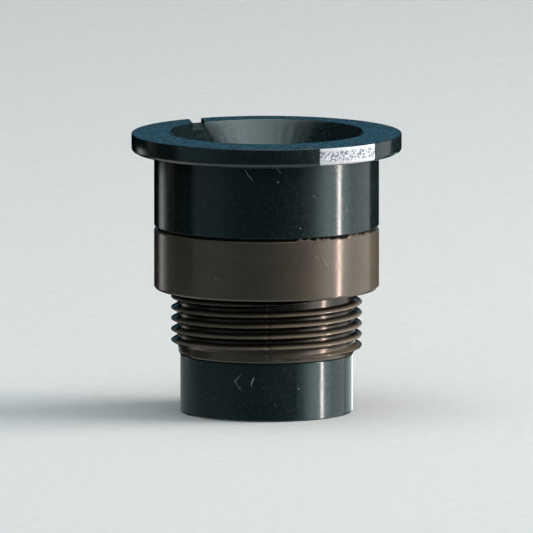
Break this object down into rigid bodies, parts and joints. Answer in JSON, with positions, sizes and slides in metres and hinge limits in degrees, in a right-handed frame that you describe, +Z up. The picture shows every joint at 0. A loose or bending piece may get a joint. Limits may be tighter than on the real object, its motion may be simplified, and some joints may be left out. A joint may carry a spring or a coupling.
{
  "type": "male-threaded spray nozzle for a pop-up sprinkler",
  "caption": "Flanged spray nozzle with a bowl top, stepped barrel, fine male thread and plain inlet sleeve; an adjusting screw moves a throttle plug inside.",
  "frame": {"origin": "centre of the inlet sleeve's lower end, which is the lowest plane", "axes": "+Z up along the axis towards the bowl, front at -Y, spray window towards the back at 121 degrees from +X"},
  "size_m": [0.0224, 0.0224, 0.0234],
  "materials": {
    "cap_plastic": "glossy moulded, lightly scratched",
    "body_plastic": "glossy moulded brown",
    "sleeve_plastic": "glossy moulded",
    "marking": "rough stamped foil",
    "plate_plastic": "satin moulded",
    "stainless": "turned",
    "seal_rubber": "moulded",
    "clip_steel": "stamped",
    "acetal": "satin moulded",
    "disc_rubber": "moulded silicone",
    "screen_plastic": "satin moulded",
    "mesh_steel": "woven wire"
  },
  "bodies": {
    "root": {"deflector_cap": "cap_plastic", "threaded_body": "body_plastic", "lower_sleeve": "sleeve_plastic", "marking_patch": "marking", "pattern_plate": "plate_plastic", "screw_o_ring": "seal_rubber", "disc_seat": "acetal", "flow_disc": "disc_rubber", "disc_cage": "acetal", "screen_frame": "screen_plastic", "screen_mesh": "mesh_steel"},
    "screw": {"radius_screw": "stainless", "screw_clip": "clip_steel"},
    "plug": {"throttle_plug": "acetal"}
  },
  "joints": [
    {"name": "screw_turn", "type": "hinge", "parent": "root", "child": "screw", "pos_m": [0, 0, 0.0165], "axis": [0, 0, 1], "range_deg": [-900, 0]},
    {"name": "throttle_travel", "type": "slide", "parent": "root", "child": "plug", "axis": [0, 0, 1], "range_m": [0, 0.00198]}
  ],
  "couplings": [
    {"joint": "screw_turn", "follows": "throttle_travel", "rad_per_m": -7913.2}
  ]
}
